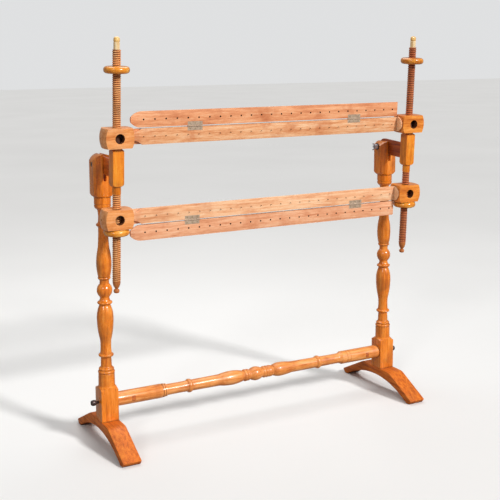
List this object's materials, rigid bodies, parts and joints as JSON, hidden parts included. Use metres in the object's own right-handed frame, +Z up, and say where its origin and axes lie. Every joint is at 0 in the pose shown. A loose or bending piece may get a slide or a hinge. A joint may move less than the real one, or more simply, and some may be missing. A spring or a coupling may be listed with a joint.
{
  "type": "embroidery scroll frame",
  "caption": "Floor-standing wooden embroidery frame: turned posts on arched feet, a tilting frame of threaded rods, and split rollers with hinged flaps.",
  "frame": {"origin": "floor level, midway between the two posts, on the line of their axes", "axes": "+X along the stretcher to the right as seen by the worker, +Y to the rear, +Z up"},
  "size_m": [1.222, 0.436, 1.3275],
  "materials": {
    "stand_wood": "polished orange beech",
    "tongue_wood": "dark red-brown wood",
    "rod_wood": "worn beech",
    "nut_wood": "brown polished wood",
    "roller_wood": "pale worn beech",
    "flap_wood": "pale worn beech",
    "hinge_brass": "dull brass",
    "pin_steel": "dull steel",
    "dark_iron": "dark iron"
  },
  "bodies": {
    "stand": {"bed_bolt_left": "dark_iron", "bed_bolt_right": "dark_iron", "bed_nut_left": "dark_iron", "bed_nut_right": "dark_iron", "foot_left": "stand_wood", "foot_right": "stand_wood", "pivot_bolt_left": "dark_iron", "pivot_bolt_right": "dark_iron", "post_left": "stand_wood", "post_right": "stand_wood", "stretcher": "stand_wood"},
    "work_frame": {"rod_left": "rod_wood", "rod_right": "rod_wood", "tongue_left": "tongue_wood", "tongue_right": "tongue_wood"},
    "upper_roller": {"upper_hinge_pin_left": "hinge_brass", "upper_hinge_pin_right": "hinge_brass", "upper_hinge_roller_leaf_left": "hinge_brass", "upper_hinge_roller_leaf_right": "hinge_brass", "upper_pins": "pin_steel", "upper_roller": "roller_wood"},
    "upper_flap": {"upper_flap": "flap_wood", "upper_hinge_flap_leaf_left": "hinge_brass", "upper_hinge_flap_leaf_right": "hinge_brass"},
    "lower_roller": {"lower_hinge_pin_left": "hinge_brass", "lower_hinge_pin_right": "hinge_brass", "lower_hinge_roller_leaf_left": "hinge_brass", "lower_hinge_roller_leaf_right": "hinge_brass", "lower_pins": "pin_steel", "lower_roller": "roller_wood"},
    "lower_flap": {"lower_flap": "flap_wood", "lower_hinge_flap_leaf_left": "hinge_brass", "lower_hinge_flap_leaf_right": "hinge_brass"},
    "upper_nut_left": {"upper_nut_left": "nut_wood"},
    "upper_nut_right": {"upper_nut_right": "nut_wood"},
    "lower_nut_left": {"lower_nut_left": "nut_wood"},
    "lower_nut_right": {"lower_nut_right": "nut_wood"},
    "wing_nut_left": {"wing_nut_left": "dark_iron"},
    "wing_nut_right": {"wing_nut_right": "dark_iron"}
  },
  "joints": [
    {"name": "frame_tilt", "type": "hinge", "parent": "stand", "child": "work_frame", "pos_m": [0, 0, 0.926], "axis": [-1, 0, 0], "range_deg": [-6.5, 93.5]},
    {"name": "upper_roller_slide", "type": "slide", "parent": "work_frame", "child": "upper_roller", "axis": [0, -0.0617, 0.9981], "range_m": [0, 0.164]},
    {"name": "lower_roller_slide", "type": "slide", "parent": "work_frame", "child": "lower_roller", "axis": [0, -0.0617, 0.9981], "range_m": [-0.13, 0.065]},
    {"name": "upper_flap_fold", "type": "hinge", "parent": "upper_roller", "child": "upper_flap", "pos_m": [0, -0.14143, 1.04514], "axis": [1, 0, 0], "range_deg": [0, 180]},
    {"name": "lower_flap_fold", "type": "hinge", "parent": "lower_roller", "child": "lower_flap", "pos_m": [0, -0.12263, 0.74123], "axis": [-1, 0, 0], "range_deg": [0, 180]},
    {"name": "upper_nut_left_slide", "type": "slide", "parent": "work_frame", "child": "upper_nut_left", "axis": [0, -0.0617, 0.9981], "range_m": [-0.164, 0.052]},
    {"name": "upper_nut_right_slide", "type": "slide", "parent": "work_frame", "child": "upper_nut_right", "axis": [0, -0.0617, 0.9981], "range_m": [-0.18, 0.036]},
    {"name": "lower_nut_left_slide", "type": "slide", "parent": "work_frame", "child": "lower_nut_left", "axis": [0, -0.0617, 0.9981], "range_m": [-0.13, 0.065]},
    {"name": "lower_nut_right_slide", "type": "slide", "parent": "work_frame", "child": "lower_nut_right", "axis": [0, -0.0617, 0.9981], "range_m": [-0.13, 0.065]},
    {"name": "wing_nut_left_spin", "type": "hinge", "parent": "stand", "child": "wing_nut_left", "pos_m": [-0.554, 0, 0.926], "axis": [1, 0, 0], "continuous": true},
    {"name": "wing_nut_right_spin", "type": "hinge", "parent": "stand", "child": "wing_nut_right", "pos_m": [0.554, 0, 0.926], "axis": [1, 0, 0], "continuous": true}
  ],
  "couplings": [
    {"joint": "lower_nut_left_slide", "follows": "lower_roller_slide", "ratio": 1},
    {"joint": "lower_nut_right_slide", "follows": "lower_roller_slide", "ratio": 1}
  ]
}
